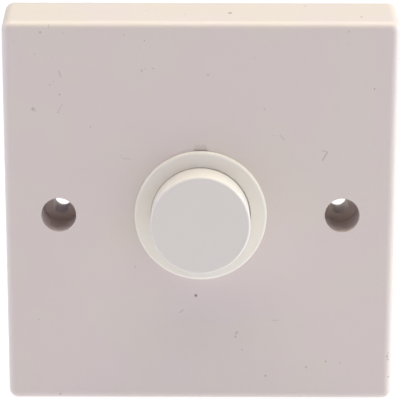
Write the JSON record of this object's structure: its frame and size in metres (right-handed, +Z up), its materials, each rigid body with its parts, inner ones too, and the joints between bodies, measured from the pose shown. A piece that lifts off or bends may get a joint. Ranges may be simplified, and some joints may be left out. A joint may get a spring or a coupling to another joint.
{
  "type": "push-button time-delay switch",
  "caption": "Square white wall plate with a round push button in a collar; a spring and an air cylinder behind it let the button creep out and open a snap switch.",
  "frame": {"origin": "midway between the two fixing-screw holes, on the plane of their pillars' rear ends, 2.9 mm in front of the plane where the plate's rim meets the wall", "axes": "+Z up the plate, +X to the right seen from the front, +Y into the wall; the button faces -Y"},
  "size_m": [0.0848, 0.0498, 0.0848],
  "materials": {
    "plate_moulding": "satin off-white moulding",
    "collar_moulding": "satin white moulding",
    "button_moulding": "satin white moulding",
    "white_acetal": "smooth acetal",
    "natural_nylon": "natural nylon",
    "housing_moulding": "matt off-white moulding",
    "switch_moulding": "matt black moulding",
    "plunger_moulding": "red phenolic",
    "spring_steel": "spring steel",
    "plated_steel": "zinc-plated steel",
    "terminal_brass": "plain brass",
    "black_rubber": "moulded rubber",
    "grey_felt": "pressed felt"
  },
  "bodies": {
    "housing": {"faceplate": "plate_moulding", "collar": "collar_moulding", "guide_bridge": "natural_nylon", "air_cylinder": "natural_nylon", "rear_housing": "housing_moulding", "microswitch_case": "switch_moulding", "microswitch_lid": "switch_moulding", "microswitch_screws": "plated_steel", "lever_pivot": "plated_steel", "terminal_screws": "plated_steel", "mechanism_screws": "plated_steel", "assembly_screws": "plated_steel", "microswitch_tags": "terminal_brass", "line_link": "terminal_brass", "load_link": "terminal_brass", "line_terminal": "terminal_brass", "load_terminal": "terminal_brass", "spare_terminal": "terminal_brass", "air_filter": "grey_felt"},
    "button": {"push_button": "button_moulding", "plunger_stem": "white_acetal", "return_spring": "spring_steel", "cup_seal": "black_rubber", "seal_washer": "plated_steel", "piston_screw": "plated_steel"},
    "lever": {"switch_lever": "spring_steel", "roller_axle": "plated_steel"},
    "roller": {"lever_roller": "white_acetal"},
    "plunger": {"switch_plunger": "plunger_moulding"},
    "needle": {"timing_needle": "terminal_brass", "needle_seal": "black_rubber"}
  },
  "joints": [
    {"name": "button_push", "type": "slide", "parent": "housing", "child": "button", "axis": [0, 1, 0], "range_m": [0, 0.007], "stiffness_N_per_m": 400, "springref_m": -0.004, "deforming": ["return_spring"]},
    {"name": "lever_swing", "type": "hinge", "parent": "housing", "child": "lever", "pos_m": [0, 0.0154, 0.0115], "axis": [-1, 0, 0], "range_deg": [0, 7]},
    {"name": "roller_spin", "type": "hinge", "parent": "lever", "child": "roller", "pos_m": [0, 0.0013, 0.00519], "axis": [1, 0, 0], "range_deg": [0, 235]},
    {"name": "plunger_press", "type": "slide", "parent": "housing", "child": "plunger", "axis": [0, 0, 1], "range_m": [0, 0.00095]},
    {"name": "needle_turn", "type": "hinge", "parent": "housing", "child": "needle", "pos_m": [0, 0.0239, 0], "axis": [0, 1, 0], "range_deg": [-180, 360]}
  ],
  "couplings": [
    {"joint": "lever_swing", "follows": "button_push", "rad_per_m": 16.456},
    {"joint": "roller_spin", "follows": "button_push", "rad_per_m": 573.7},
    {"joint": "plunger_press", "follows": "button_push", "ratio": 0.1321}
  ]
}
